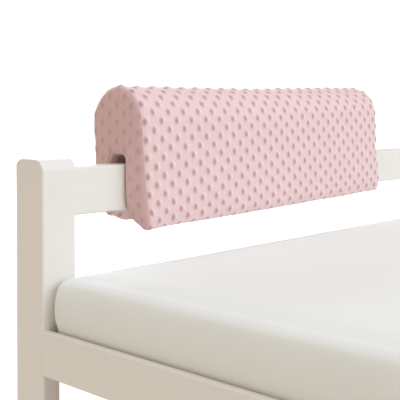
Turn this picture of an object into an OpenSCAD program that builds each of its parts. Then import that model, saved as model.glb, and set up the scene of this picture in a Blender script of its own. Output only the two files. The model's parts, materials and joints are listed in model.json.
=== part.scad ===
// Low wooden toddler bed with a full-length guard rail at the back, a slatted base,
// a foam mattress and a padded saddle cushion that sits over the guard rail.
// X runs from the foot end to the head end, Y from the front to the back, Z up.
// The origin is on the floor, in the middle of the bed's plan.

/* [Mattress] */
// Length of the mattress, along X
mattress_l = 1400; // [1100:10:1700]
// Width of the mattress, along Y
mattress_w = 700; // [560:10:850]
// Thickness of the mattress
mattress_h = 90; // [60:1:110]
// Rounding of the mattress's upright corners
mattress_corner_r = 12; // [4:1:40]
// Height of the mattress's underside above the floor
mattress_z = 249; // [200:1:320]
// Play between the mattress and each side frame
side_play = 1; // [0.5:0.5:10]
// Thickness of the mattress cover's fabric
mattress_cover_t = 2; // [1:0.5:4]

/* [Posts] */
// Width of a post along the bed
post_x = 53; // [44:1:80]
// Width of a post across the bed
post_y = 57.7; // [46:0.1:80]
// Height of the posts' tops above the floor
post_top = 493.4; // [460:0.1:620]
// Rounding of the posts' top corners, seen from the ends
post_top_r = 15.5; // [4:0.5:22]
// Rounding of the posts' upright edges
post_edge_r = 3; // [1:0.5:6]
// Part of a post's width that carries on down as the leg
leg_x = 25.5; // [20:0.5:40]

/* [Upper rails] */
// Thickness of an upper rail
rail_t = 34; // [24:0.5:40]
// Height of an upper rail
rail_h = 63.5; // [40:0.5:90]
// Step from the posts' tops down to the upper rails' top edge
rail_drop = 10.9; // [4:0.1:30]
// Step from a post's inner face back to the upper rail's inner face
rail_set_back = 3; // [1:0.5:12]
// Rounding of the upper rails' long edges
rail_edge_r = 3.5; // [1:0.5:8]
// Length of the front guard rail, between its two posts
front_guard_l = 560; // [400:10:700]
// Width along the bed of the short post at the front guard rail's free end
guard_post_x = 44; // [36:1:60]

/* [Lower rails] */
// Height of the lower rails
low_rail_h = 57.5; // [48:0.5:70]
// Height of the lower rails' bottom edges above the floor
low_rail_z = 220; // [180:1:280]
// Thickness of the lower rails
low_rail_t = 22; // [18:0.5:28]
// Thickness of the end rails' lip that stands up beside the mattress
lip_t = 9; // [6:0.5:12]
// Rounding of the lower rails' long edges
low_rail_edge_r = 2; // [0.5:0.5:3]
// Step from a post's inner face back to the side rail's inner face
side_rail_set_back = 12; // [6:0.5:20]

/* [Slats] */
// Number of slats
slat_count = 11; // [8:1:14]
// Width of a slat
slat_w = 70; // [50:1:90]
// Thickness of a slat
slat_t = 12; // [9:0.5:14]
// Reach of the first and last slats past the battens' ends
slat_overhang = 18; // [4:1:24]
// Width of the battens that carry the slats
batten_w = 28; // [20:1:40]

/* [Cushion] */
// Length of the cushion along the guard rail
cushion_l = 628; // [300:1:900]
// Width of the cushion across the guard rail
cushion_w = 100; // [90:1:120]
// Height of the cushion's top above the rail's top edge
cushion_over = 107.9; // [95:0.1:130]
// Depth of the cushion's legs below the rail's top edge
cushion_under = 89.5; // [60:0.5:120]
// Rise of the legs' sloping bottom from its outer to its inner corner
cushion_bevel = 15; // [5:1:25]
// Lean of the cushion's front leg, out over the mattress
cushion_splay = 8; // [0:1:14]
// Tilt of the cushion on the rail, its head end up, in degrees
cushion_tilt = 1.5; // [0:0.1:3]
// Play between the guard rail and each side of the cushion's slot
slot_play = 0.8; // [0.4:0.1:2]
// Empty height of the slot above the rail
slot_head = 11; // [8:0.5:20]
// Distance from the foot posts' inner faces to the cushion
cushion_offset = 87; // [20:1:300]
// Thickness of the cushion cover's fabric
cushion_cover_t = 2; // [1:0.5:4]
// Width of the cushion's zip tape
zip_tape_w = 24; // [16:1:32]
// Height of the zip's middle above the bottom of the cushion's back leg
zip_rise = 40; // [26:1:50]

/* [Fittings] */
// Diameter of the wooden dowels
dowel_d = 8; // [6:1:10]
// Length of the wooden dowels
dowel_l = 36; // [24:2:44]
// Thread diameter of the connector bolts
bolt_d = 6; // [5:1:8]
// Length of the connector bolts under the head
bolt_l = 84; // [76:1:96]
// Diameter of the connector bolts' flat heads
bolt_head_d = 15; // [12:0.5:18]
// Diameter of the barrel nuts
nut_d = 10; // [8:0.5:12]
// Diameter of the floor glides
glide_d = 20; // [14:1:24]
// Height of the floor glides
glide_h = 4; // [2:0.5:8]

/* [Hidden] */
$fn = 96;
fit_gap = 0.1;
soft_gap = 0.3;
bite = 1;

// Plan
lip_x = mattress_l / 2 + soft_gap;
bed_end_x = lip_x + lip_t;
side_y = mattress_w / 2 + side_play;
bed_side_y = side_y + post_y;
post_in_x = bed_end_x - post_x;

// Heights
rail_top = post_top - rail_drop;
rail_bottom = rail_top - rail_h;
low_rail_top = low_rail_z + low_rail_h;
slat_top = mattress_z - soft_gap;
slat_bottom = slat_top - slat_t;
batten_h = slat_bottom - low_rail_z;

// Upper rails
rail_y = side_y + rail_set_back + rail_t / 2;
rail_mid_z = (rail_top + rail_bottom) / 2;
head_rail_x = post_in_x + post_x / 2;
guard_post_in_x = post_in_x - front_guard_l;
guard_post_out_x = guard_post_in_x - guard_post_x;

// Lower rails
side_rail_y = side_y + side_rail_set_back;
low_rail_mid_z = (low_rail_z + slat_top) / 2;

// Slats
slat_span = 2 * side_rail_y - 2 * fit_gap;
slat_field = 2 * (post_in_x + slat_overhang) - slat_w;
slat_pitch = slat_field / (slat_count - 1);
batten_l = 2 * post_in_x - 2 * fit_gap;
batten_y = side_rail_y - batten_w / 2;
slat_numbers = [1 : slat_count];

// Cushion
cushion_x0 = -post_in_x + cushion_offset;
cushion_x1 = cushion_x0 + cushion_l;
slot_w = rail_t + 2 * slot_play;
slot_top = rail_top + slot_head;
cushion_top = rail_top + cushion_over;
cushion_bottom = rail_top - cushion_under;
cushion_r = cushion_w / 2;
cushion_foot_r = 8;
zip_z = cushion_bottom + zip_rise;
zip_end = 18;
zip_tape_t = 1.2;
zip_tooth_w = 5;
zip_tooth_t = 1.6;
zip_clear = 0.4;
slider_l = 13;
slider_w = 9;
slider_t = 3.2;
slider_gap = 0.4;
lug_w = 2;
lug_r = 1.8;
pull_w = 7;
pull_l = 24;
pull_t = 1.4;
pull_pin_r = 1;
zip_face_y = rail_y + cushion_r + zip_tape_t + zip_tooth_t;
slider_y0 = zip_face_y + zip_clear;
slider_y1 = slider_y0 + slider_t;
pull_pin_y = slider_y1 + pull_pin_r + slider_gap;
pull_pin_z = zip_z + 1;
slider_x = cushion_x0 + zip_end + slider_l;
back_reach = pull_pin_y + lug_r;

// The plan is centred on the whole bed, cushion and zip included
plan_shift = (bed_side_y - back_reach) / 2;

// Fixings
dowel_step = rail_h / 4;
low_dowel_step = low_rail_h / 4;
bolt_x = bed_end_x - low_rail_t / 2;
bolt_z = low_rail_mid_z + 6.5;
end_dowel_z = low_rail_mid_z - 7.5;
end_dowel_d = 8;
bolt_head_t = 3;
nut_l = 14;
nut_in = 18;
guard_screw_d = 5;
guard_screw_head_d = 10;
screw_d = 4;
screw_head_d = 8;
slat_screw_l = 22;
batten_screw_l = 42;
guard_screw_l = 42;
glide_x = bed_end_x - leg_x / 2;
glide_y = side_y + post_y / 2;
glide_pin_d = 4;
glide_pin_l = 14;

SLATS = [for (i = slat_numbers) str("slat_", i < 10 ? "0" : "", i)];

WOOD_PAINT = "#EDE6DB";
BARE_WOOD = "#D9B98C";
STEEL = "#B8BABD";
PINK = "#EBC8CB";
FOAM = "#F2EAD2";
SHEET = "#F3F2EE";
GLIDE = "#E4E2DC";

// ---- helpers -------------------------------------------------------------

// Moves a drawing made about the side frames' middle into the bed's own plan
module in_plan() {
    translate([0, plan_shift, 0]) children();
}

// As in_plan, for what is on the cushion: it is tilted up from its foot end
module on_cushion() {
    in_plan() translate([cushion_x0, 0, rail_top]) rotate([0, -cushion_tilt, 0])
        translate([-cushion_x0, 0, -rail_top]) children();
}

// Rectangle centred on the origin with round corners
module round_rect(w, h, r) {
    square([w - 2 * r, h], center = true);
    square([w, h - 2 * r], center = true);
    for (sx = [-1, 1], sy = [-1, 1])
        translate([sx * (w / 2 - r), sy * (h / 2 - r)]) circle(r);
}

// Moves a drawing of the head end to the foot end when end is -1
module at_end(end) {
    mirror([end < 0 ? 1 : 0, 0, 0]) children();
}

// Moves a drawing of the back to the front when side is -1
module at_side(side) {
    mirror([0, side < 0 ? 1 : 0, 0]) children();
}

// Cylinder along X, starting at the origin
module rod_x(d, l) {
    rotate([0, 90, 0]) cylinder(d = d, h = l);
}

// Cylinder along Y, starting at the origin
module rod_y(d, l) {
    rotate([-90, 0, 0]) cylinder(d = d, h = l);
}

// Bar along X with a rounded section: t across the bed and h high
module bar_x(x0, x1, y, z, t, h, r) {
    translate([x0, y, z]) rotate([90, 0, 90]) linear_extrude(x1 - x0) round_rect(t, h, r);
}

// Bar along Y with a rounded section: t along the bed and h high
module bar_y(y0, y1, x, z, t, h, r) {
    translate([x, y1, z]) rotate([90, 0, 0]) linear_extrude(y1 - y0) round_rect(t, h, r);
}

// Wood screw along -Z with a flat countersunk head, its top at the origin
module wood_screw(d, head_d, l) {
    translate([0, 0, -l]) cylinder(d = d, h = l);
    translate([0, 0, -(head_d - d) / 2]) cylinder(d1 = d, d2 = head_d, h = (head_d - d) / 2);
}

// ---- where the fixings sit -----------------------------------------------

// Dowels that join the upper rails to the posts, each centred on its joint
module at_upper_dowels() {
    for (s = [-1, 1]) {
        z = rail_mid_z + s * dowel_step;
        for (end = [-1, 1]) translate([end * post_in_x, rail_y, z]) rotate([0, 90, 0]) children();
        for (side = [-1, 1]) translate([head_rail_x, side * side_y, z]) rotate([90, 0, 0]) children();
        translate([post_in_x, -rail_y, z]) rotate([0, 90, 0]) children();
        translate([guard_post_in_x, -rail_y, z]) rotate([0, 90, 0]) children();
    }
}

// Dowels that join the side rails to the posts
module at_side_dowels() {
    for (end = [-1, 1], side = [-1, 1], s = [-1, 1])
        translate([end * post_in_x, side * (side_rail_y + low_rail_t / 2),
                   low_rail_z + low_rail_h / 2 + s * low_dowel_step])
            rotate([0, 90, 0]) children();
}

// Dowels that keep the end rails from turning on their bolts
module at_end_dowels() {
    for (end = [-1, 1], side = [-1, 1])
        translate([end * bolt_x, side * side_y, end_dowel_z]) rotate([90, 0, 0]) children();
}

// Connector bolts: origin under the head, the bolt running along +Z
module at_bolts() {
    for (end = [-1, 1], side = [-1, 1])
        at_side(side) translate([end * bolt_x, bed_side_y - bolt_head_t, bolt_z])
            rotate([90, 0, 0]) children();
}

// Barrel nuts: origin at the nut's middle, +Z pointing into the bed
module at_nuts() {
    for (end = [-1, 1], side = [-1, 1])
        at_end(end) at_side(side) translate([bolt_x, side_y - nut_in, bolt_z])
            rotate([0, -90, 0]) children();
}

// Screws down through the slats' ends, into the battens
module at_slat_screws() {
    for (i = slat_numbers, side = [-1, 1])
        translate([slat_x(i), side * batten_y, slat_top]) children();
}

// Screws through the battens into the side rails, midway between two slats
module at_batten_screws() {
    for (side = [-1, 1], i = [1 : 3 : slat_count - 1])
        at_side(side) translate([slat_x(i + 0.5), side_rail_y - batten_w, low_rail_z + batten_h / 2])
            rotate([90, 0, 0]) children();
}

// Screws through the front side rail, into the short guard post
module at_guard_screws() {
    for (s = [-1, 1])
        translate([(guard_post_in_x + guard_post_out_x) / 2 + s * guard_post_x / 4, -side_rail_y,
                   (slat_top + low_rail_top) / 2])
            rotate([-90, 0, 0]) children();
}

// Legs' bottom middles
module at_glides() {
    for (end = [-1, 1], side = [-1, 1])
        translate([end * glide_x, side * glide_y, 0]) children();
}

function slat_x(i) = -slat_field / 2 + (i - 1) * slat_pitch;

module dowel(d, l) {
    cylinder(d = d, h = l, center = true);
}

module upper_dowel_holes() {
    at_upper_dowels() dowel(dowel_d + fit_gap, dowel_l + 2);
}

module side_dowel_holes() {
    at_side_dowels() dowel(dowel_d + fit_gap, dowel_l + 2);
}

module end_dowel_holes() {
    at_end_dowels() dowel(end_dowel_d + fit_gap, dowel_l + 2);
}

module bolt_holes() {
    at_bolts() {
        cylinder(d = bolt_d + fit_gap, h = bolt_l + 2);
        translate([0, 0, -bolt_head_t - bite]) cylinder(d = bolt_head_d + fit_gap, h = bolt_head_t + bite);
    }
}

// ---- posts ---------------------------------------------------------------

// The head back post, in place: a rounded top, and a leg of part of its width
module post_blank() {
    x = bed_end_x - post_x / 2;
    y = side_y + post_y / 2;
    h = post_top - glide_h;
    intersection() {
        translate([x, y, glide_h]) linear_extrude(h + bite) round_rect(post_x, post_y, post_edge_r);
        translate([x - post_x / 2 - bite, y, 0]) rotate([90, 0, 90])
            linear_extrude(post_x + 2 * bite) translate([0, post_top - h]) post_outline(h);
    }
}

// A post seen from its end: square at the floor, round at the top corners
module post_outline(h) {
    translate([-post_y / 2 - bite, 0]) square([post_y + 2 * bite, h - post_top_r - bite]);
    translate([0, h / 2]) round_rect(post_y, h, post_top_r);
}

// What is cut away beside the leg, from below the lower rails to the floor
module leg_cut() {
    translate([post_in_x - bite, side_y - bite, glide_h - bite])
        cube([post_x - leg_x + bite, post_y + 2 * bite, low_rail_z - glide_h + bite]);
}

module post(end, side) {
    in_plan() difference() {
        at_end(end) at_side(side) difference() {
            post_blank();
            leg_cut();
        }
        upper_dowel_holes();
        side_dowel_holes();
        end_dowel_holes();
        bolt_holes();
        at_glides() cylinder(d = glide_pin_d + fit_gap, h = glide_h + glide_pin_l + 1);
    }
}

module foot_back_post() { color(WOOD_PAINT) post(-1, 1); }
module head_back_post() { color(WOOD_PAINT) post(1, 1); }
module foot_front_post() { color(WOOD_PAINT) post(-1, -1); }
module head_front_post() { color(WOOD_PAINT) post(1, -1); }

// ---- upper rails ---------------------------------------------------------

module back_guard_rail() {
    color(WOOD_PAINT) in_plan() difference() {
        bar_x(-post_in_x, post_in_x, rail_y, rail_mid_z, rail_t, rail_h, rail_edge_r);
        upper_dowel_holes();
    }
}

module head_rail() {
    color(WOOD_PAINT) in_plan() difference() {
        bar_y(-side_y, side_y, head_rail_x, rail_mid_z, rail_t, rail_h, rail_edge_r);
        upper_dowel_holes();
    }
}

module front_guard_rail() {
    color(WOOD_PAINT) in_plan() difference() {
        bar_x(guard_post_in_x, post_in_x, -rail_y, rail_mid_z, rail_t, rail_h, rail_edge_r);
        upper_dowel_holes();
    }
}

// Short post on the outside of the front side rail
module front_guard_post() {
    y1 = side_rail_y + low_rail_t;
    depth = bed_side_y - y1;
    color(WOOD_PAINT) in_plan() difference() {
        union() {
            translate([guard_post_out_x, -bed_side_y, low_rail_z]) cube([guard_post_x, depth, low_rail_h]);
            guard_post_top(depth);
        }
        upper_dowel_holes();
        at_guard_screws() cylinder(d = guard_screw_d + fit_gap, h = 2 * guard_screw_l, center = true);
    }
}

// The part of the short post above the side rail, as deep as a corner post
module guard_post_top(depth) {
    h = post_top - low_rail_top;
    x = (guard_post_in_x + guard_post_out_x) / 2;
    intersection() {
        translate([x, -side_y - post_y / 2, low_rail_top])
            linear_extrude(h) round_rect(guard_post_x, post_y, post_edge_r);
        translate([guard_post_out_x - bite, -side_y - post_y / 2, post_top - h]) rotate([90, 0, 90])
            linear_extrude(guard_post_x + 2 * bite) post_outline(h);
    }
}

// ---- lower rails ---------------------------------------------------------

module side_rail(side) {
    y = side * (side_rail_y + low_rail_t / 2);
    z = low_rail_z + low_rail_h / 2;
    color(WOOD_PAINT) in_plan() difference() {
        bar_x(-post_in_x, post_in_x, y, z, low_rail_t, low_rail_h, low_rail_edge_r);
        side_dowel_holes();
        at_batten_screws() cylinder(d = screw_d + fit_gap, h = 2 * batten_screw_l, center = true);
        at_guard_screws() {
            cylinder(d = guard_screw_d + fit_gap, h = 4 * low_rail_t, center = true);
            screw_sink(guard_screw_head_d, guard_screw_d);
        }
    }
}

module back_side_rail() { side_rail(1); }
module front_side_rail() { side_rail(-1); }

// Countersink for a wood screw, its wide end at the origin and facing +Z
module screw_sink(head_d, d) {
    depth = (head_d - d) / 2;
    cylinder(d = head_d + fit_gap, h = bite);
    translate([0, 0, -depth]) cylinder(d1 = d + fit_gap, d2 = head_d + fit_gap, h = depth);
}

// End rail: a thick shelf under the mattress and a thin lip beside it
module end_rail(end) {
    z = low_rail_z + low_rail_h / 2;
    y = side_y;
    color(WOOD_PAINT) in_plan() difference() {
        at_end(end) difference() {
            bar_y(-y, y, bolt_x, z, low_rail_t, low_rail_h, low_rail_edge_r);
            translate([lip_x - low_rail_t, -y - bite, slat_top])
                cube([low_rail_t, 2 * (y + bite), low_rail_h]);
        }
        end_dowel_holes();
        bolt_holes();
        at_nuts() translate([0, 0, -nut_l / 2]) cylinder(d = nut_d + fit_gap, h = low_rail_t);
    }
}

module foot_end_rail() { end_rail(-1); }
module head_end_rail() { end_rail(1); }

// ---- slatted base --------------------------------------------------------

module batten(side) {
    color(BARE_WOOD) in_plan() difference() {
        translate([-batten_l / 2, side > 0 ? side_rail_y - batten_w : -side_rail_y, low_rail_z])
            cube([batten_l, batten_w, batten_h]);
        at_slat_screws() cylinder(d = screw_d + fit_gap, h = 2 * slat_screw_l, center = true);
        at_batten_screws() {
            cylinder(d = screw_d + fit_gap, h = 2 * batten_screw_l, center = true);
            screw_sink(screw_head_d, screw_d);
        }
    }
}

module back_slat_batten() { batten(1); }
module front_slat_batten() { batten(-1); }

module slat(i) {
    color(BARE_WOOD) in_plan() difference() {
        translate([slat_x(i), 0, slat_bottom + slat_t / 2]) rotate([90, 0, 0])
            linear_extrude(slat_length(i), center = true) round_rect(slat_w, slat_t, slat_t / 4);
        at_slat_screws() {
            cylinder(d = screw_d + fit_gap, h = 3 * slat_t, center = true);
            screw_sink(screw_head_d, screw_d);
        }
    }
}

// The slats beside the posts are cut short to lie between them
function slat_length(i) =
    abs(slat_x(i)) + slat_w / 2 > post_in_x ? 2 * side_y - 2 * fit_gap : slat_span;

// ---- fixings -------------------------------------------------------------

module upper_rail_dowels() { color(BARE_WOOD) in_plan() at_upper_dowels() dowel(dowel_d, dowel_l); }
module side_rail_dowels() { color(BARE_WOOD) in_plan() at_side_dowels() dowel(dowel_d, dowel_l); }
module end_rail_dowels() { color(BARE_WOOD) in_plan() at_end_dowels() dowel(end_dowel_d, dowel_l); }

// Flat-headed bolts with a hexagon socket
module connector_bolts() {
    color(STEEL) in_plan() at_bolts() difference() {
        union() {
            cylinder(d = bolt_d, h = bolt_l);
            translate([0, 0, -bolt_head_t]) cylinder(d = bolt_head_d, h = bolt_head_t);
        }
        translate([0, 0, -bolt_head_t - bite]) cylinder(d = 4.6, h = 3.4, $fn = 6);
    }
}

module barrel_nuts() {
    color(STEEL) in_plan() at_nuts() difference() {
        cylinder(d = nut_d, h = nut_l, center = true);
        rotate([90, 0, 0]) cylinder(d = bolt_d + fit_gap, h = 2 * nut_d, center = true);
    }
}

module slat_screws() {
    color(STEEL) in_plan() at_slat_screws() wood_screw(screw_d, screw_head_d, slat_screw_l);
}

module batten_screws() {
    color(STEEL) in_plan() at_batten_screws() wood_screw(screw_d, screw_head_d, batten_screw_l);
}

module guard_post_screws() {
    color(STEEL) in_plan() at_guard_screws()
        wood_screw(guard_screw_d, guard_screw_head_d, guard_screw_l);
}

// Nail-on glides: a domed disc and its pin
module floor_glides() {
    color(GLIDE) in_plan() at_glides() {
        cylinder(d1 = glide_d - 3, d2 = glide_d, h = glide_h / 2);
        translate([0, 0, glide_h / 2]) cylinder(d = glide_d, h = glide_h / 2);
        cylinder(d = glide_pin_d, h = glide_h + glide_pin_l);
    }
}

// ---- mattress ------------------------------------------------------------

module mattress_block(skin) {
    translate([0, 0, mattress_z + skin]) linear_extrude(mattress_h - 2 * skin)
        round_rect(mattress_l - 2 * skin, mattress_w - 2 * skin, mattress_corner_r - skin / 2);
}

module mattress_core() { color(FOAM) in_plan() mattress_block(mattress_cover_t); }

module mattress_cover() {
    color(SHEET) in_plan() difference() {
        mattress_block(0);
        mattress_block(mattress_cover_t);
    }
}

// ---- cushion -------------------------------------------------------------

// Section of the cushion across the rail, drawn inside its outer surface by skin:
// a round top, two legs with sloping bottoms, and a slot for the rail
module cushion_section(skin) {
    difference() {
        cushion_outline(cushion_r - skin, cushion_bottom + skin);
        cushion_hollow(cushion_r - skin, cushion_bottom + skin, slot_w / 2 + skin, slot_top + skin);
    }
}

// Outside of the section: r is its half width and low its lowest level
module cushion_outline(r, low) {
    shoulder = cushion_top - cushion_r;
    front = -r - cushion_splay;
    foot_r = cushion_foot_r;
    translate([0, shoulder]) circle(r);
    translate([front + foot_r, low + foot_r]) circle(foot_r);
    translate([r - foot_r, low + foot_r]) circle(foot_r);
    polygon([
        [-r, shoulder], [front, low + foot_r], [front + foot_r, low],
        [r - foot_r, low], [r, low + foot_r], [r, shoulder]
    ]);
}

// Inside of the section: the slot, and the slopes that rise to it from both feet
module cushion_hollow(r, low, half_slot, top) {
    foot_r = cushion_foot_r;
    round_r = slot_head;
    depth = top - low + 2 * round_r;
    translate([0, top - depth / 2]) round_rect(2 * half_slot, depth, round_r);
    polygon([
        [-r - cushion_splay + foot_r, low], [-half_slot, low + cushion_bevel],
        [half_slot, low + cushion_bevel], [r - foot_r, low],
        [r - foot_r, low - bite], [-r - cushion_splay + foot_r, low - bite]
    ]);
}

module cushion_run(x0, x1, skin) {
    translate([x0, rail_y, 0]) rotate([90, 0, 90]) linear_extrude(x1 - x0) cushion_section(skin);
}

module cushion_core() {
    t = cushion_cover_t;
    color(FOAM) on_cushion() cushion_run(cushion_x0 + t, cushion_x1 - t, t);
}

module cushion_cover() {
    t = cushion_cover_t;
    color(PINK) on_cushion() difference() {
        cushion_run(cushion_x0 + t, cushion_x1 - t, 0);
        cushion_run(cushion_x0, cushion_x1, t);
    }
}

module cushion_foot_panel() {
    color(PINK) on_cushion() cushion_run(cushion_x0, cushion_x0 + cushion_cover_t, 0);
}

module cushion_head_panel() {
    color(PINK) on_cushion() cushion_run(cushion_x1 - cushion_cover_t, cushion_x1, 0);
}

// Zip along the cushion's back: a flat tape with a raised row of teeth
module cushion_zip_tape() {
    y = rail_y + cushion_r;
    l = cushion_l - 2 * zip_end;
    color(PINK) on_cushion() translate([cushion_x0 + zip_end, y, zip_z]) {
        translate([0, 0, -zip_tape_w / 2]) cube([l, zip_tape_t, zip_tape_w]);
        translate([0, 0, -zip_tooth_w / 2]) cube([l, zip_tape_t + zip_tooth_t, zip_tooth_w]);
    }
}

// Slider on the teeth, with a bridge for the pull's pin
module zip_slider() {
    color(STEEL) on_cushion() difference() {
        union() {
            translate([slider_x - slider_l / 2, slider_y0, zip_z - slider_w / 2])
                cube([slider_l, slider_t, slider_w]);
            for (side = [-1, 1])
                translate([slider_x + side * (pull_w / 2 + slider_gap + lug_w / 2) - lug_w / 2,
                           slider_y1 - bite, pull_pin_z - lug_r])
                    cube([lug_w, bite + pull_pin_y + lug_r - slider_y1, 2 * lug_r]);
        }
        translate([slider_x - slider_l, pull_pin_y, pull_pin_z])
            rod_x(2 * pull_pin_r + fit_gap, 2 * slider_l);
    }
}

// Pull tab hanging from its pin, with a finger hole near the free end
module zip_pull() {
    pin_l = pull_w + 2 * slider_gap + 2 * lug_w;
    hole_r = 2;
    color(STEEL) on_cushion() translate([slider_x, pull_pin_y, pull_pin_z]) {
        translate([-pin_l / 2, 0, 0]) rod_x(2 * pull_pin_r, pin_l);
        difference() {
            union() {
                translate([-pull_w / 2, -pull_t / 2, -pull_l + pull_w / 2])
                    cube([pull_w, pull_t, pull_l - pull_w / 2]);
                translate([0, -pull_t / 2, -pull_l + pull_w / 2]) rod_y(pull_w, pull_t);
            }
            translate([0, -pull_t, -pull_l + pull_w / 2]) rod_y(2 * hole_r, 2 * pull_t);
        }
    }
}

// ---- parts ---------------------------------------------------------------

foot_back_post();
head_back_post();
foot_front_post();
head_front_post();
back_guard_rail();
head_rail();
front_guard_rail();
front_guard_post();
back_side_rail();
front_side_rail();
foot_end_rail();
head_end_rail();
back_slat_batten();
front_slat_batten();
upper_rail_dowels();
side_rail_dowels();
end_rail_dowels();
connector_bolts();
barrel_nuts();
slat_screws();
batten_screws();
guard_post_screws();
floor_glides();
mattress_core();
mattress_cover();
cushion_core();
cushion_cover();
cushion_foot_panel();
cushion_head_panel();
cushion_zip_tape();
zip_slider();
zip_pull();
for (i = slat_numbers)
    slat(i);
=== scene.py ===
"""Toddler bed with a plush saddle cushion on its guard rail: finishes, padding and stage."""
import json
import math

import bpy
import numpy as np
from bpy.props import FloatProperty, FloatVectorProperty, IntProperty, PointerProperty
from mathutils import Matrix, Vector


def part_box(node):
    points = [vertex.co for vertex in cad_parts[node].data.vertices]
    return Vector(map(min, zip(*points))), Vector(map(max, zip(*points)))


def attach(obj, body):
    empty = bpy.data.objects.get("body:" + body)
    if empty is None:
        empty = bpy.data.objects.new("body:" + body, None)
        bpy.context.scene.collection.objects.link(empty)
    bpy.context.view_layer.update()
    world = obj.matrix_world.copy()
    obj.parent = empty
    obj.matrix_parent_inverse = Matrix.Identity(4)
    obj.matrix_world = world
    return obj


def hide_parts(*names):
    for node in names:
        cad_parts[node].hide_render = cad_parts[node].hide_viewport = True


bl_info = {
    "name": "Toddler Bed Maker",
    "version": (1, 0, 0),
    "blender": (4, 5, 0),
    "location": "View3D > Sidebar > Bed",
    "description": "Builds the paint, padding, zip and stage of a toddler bed around its frame",
    "category": "Object",
}

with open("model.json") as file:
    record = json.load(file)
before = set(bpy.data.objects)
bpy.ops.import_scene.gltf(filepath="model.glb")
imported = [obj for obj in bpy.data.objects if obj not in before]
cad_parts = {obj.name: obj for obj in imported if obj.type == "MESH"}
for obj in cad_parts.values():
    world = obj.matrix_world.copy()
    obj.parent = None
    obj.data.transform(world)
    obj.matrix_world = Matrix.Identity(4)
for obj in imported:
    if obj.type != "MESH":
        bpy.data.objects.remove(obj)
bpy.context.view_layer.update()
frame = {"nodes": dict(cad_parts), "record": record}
NODES = frame["nodes"]
MM = 0.001

# Where the camera stands, in metres, and the directions of its right and top edges
CAMERA_PLACE = (-1.31421, -0.47854, 0.55039)
CAMERA_RIGHT = (0.67472, -0.73805, 0.00618)
CAMERA_UP = (0.03213, 0.03774, 0.99877)
# Each light's place, the height that it is aimed at, and its width and height
LIGHTS = (("side", (0.6, -4.2, 2.2), 0.35, (4.0, 2.4)), ("top", (0.0, -0.6, 4.0), 0.3, (4.0, 3.0)),
          ("end", (-4.2, 0.6, 2.0), 0.35, (3.0, 2.4)), ("back", (1.2, 4.2, 2.2), 0.35, (3.6, 2.4)))

# Shape of the cushion's ends. The back leg's lower corners are drawn in and lifted by these many times
# the corner pull, which counts for nothing above the corner height.
BACK_CORNER_PULL = 4.5
BACK_CORNER_LIFT = 5.2
CORNER_HEIGHT = 55 * MM
TIP_RISE = 11 * MM
TIP_LENGTH = 18 * MM
END_SWELL = 1.9
END_PANEL_DOTS = 0.35
SEAM_DEPTH = 1.0 * MM
# How far the plush lies below the cushion's back under the zip
ZIP_BED = 0.5 * MM

# Shape of the mattress: the part of the side swell that comes as a belly, and its ends' belly and tuck
BELLY_SHARE = 0.8
END_BELLY = 3.5 * MM
END_TUCK = 3 * MM

POSTS = ("foot_back_post", "head_back_post", "foot_front_post", "head_front_post", "front_guard_post")
RAILS_ALONG = ("back_guard_rail", "front_guard_rail", "back_side_rail", "front_side_rail")
RAILS_ACROSS = ("head_rail", "foot_end_rail", "head_end_rail")
BATTENS = ("back_slat_batten", "front_slat_batten")
DOWELS = ("upper_rail_dowels", "side_rail_dowels", "end_rail_dowels")
STEEL_FITTINGS = ("connector_bolts", "barrel_nuts", "slat_screws", "batten_screws", "guard_post_screws")
SLATS = tuple(sorted(name for name in NODES if name.startswith("slat_") and name != "slat_screws"))


# ---- measures taken from the frame ----

def read(items, key, width=1, kind=float):
    """One attribute of every item as an array, a row for each item."""
    values = np.empty(len(items) * width, dtype=kind)
    items.foreach_get(key, values)
    return values.reshape(-1, width) if width > 1 else values


def get_points(mesh):
    return read(mesh.vertices, "co", 3)


def node_points(name):
    """A CAD node's vertices as an array, in metres."""
    return get_points(NODES[name].data)


def joint_axis(name):
    """A joint's axis as a unit vector."""
    joint = next(j for j in frame["record"]["behaviour"]["joints"] if j["name"] == name)
    return Vector(joint["axis"]).normalized()


def turn_about_y(points, angle):
    """Turns points about the Y axis: a positive angle lifts the +X end."""
    c, s = math.cos(angle), math.sin(angle)
    x, y, z = points[:, 0], points[:, 1], points[:, 2]
    return np.column_stack((x * c - z * s, y, x * s + z * c))


class CushionMeasures:
    """The cushion's section and length, read off its CAD solids in its own level frame."""

    def __init__(self):
        run = joint_axis("zip_run")
        self.tilt = math.atan2(run.z, run.x)
        cover, foot_panel, head_panel, tape = (
            turn_about_y(node_points("cushion_" + name), -self.tilt)
            for name in ("cover", "foot_panel", "head_panel", "zip_tape"))
        rail_low, rail_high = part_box("back_guard_rail")
        self.mid_y = (rail_low[1] + rail_high[1]) / 2
        self.x0, self.x1 = foot_panel[:, 0].min(), head_panel[:, 0].max()
        self.x_mid, self.half_length = (self.x0 + self.x1) / 2, (self.x1 - self.x0) / 2
        y = cover[:, 1] - self.mid_y
        z = cover[:, 2]
        self.radius = y.max()
        self.splay = -y.min() - self.radius
        self.top, self.bottom = z.max(), z.min()
        self.half_slot = np.abs(y[z < self.bottom + 40 * MM]).min()
        on_slot = np.abs(np.abs(y) - self.half_slot) < 0.05 * MM
        self.slot_bottom = z[on_slot].min()
        self.slot_round_start = z[on_slot].max()
        roof = (np.abs(y) < 0.8 * self.half_slot) & (z < self.top - self.radius)
        self.slot_top = z[roof].max()
        self.tape_low, self.tape_high = tape.min(axis=0), tape.max(axis=0)
        teeth = tape[tape[:, 1] > self.tape_high[1] - 0.01 * MM]
        self.teeth_low, self.teeth_high = teeth[:, 2].min(), teeth[:, 2].max()
        self.tape_face = np.unique(np.round(tape[:, 1], 6))[1]


# ---- settings a user would change ----

def colour_property(name, description, default):
    return FloatVectorProperty(name=name, description=description, subtype="COLOR", size=3,
                               min=0.0, max=1.0, default=default)


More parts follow.
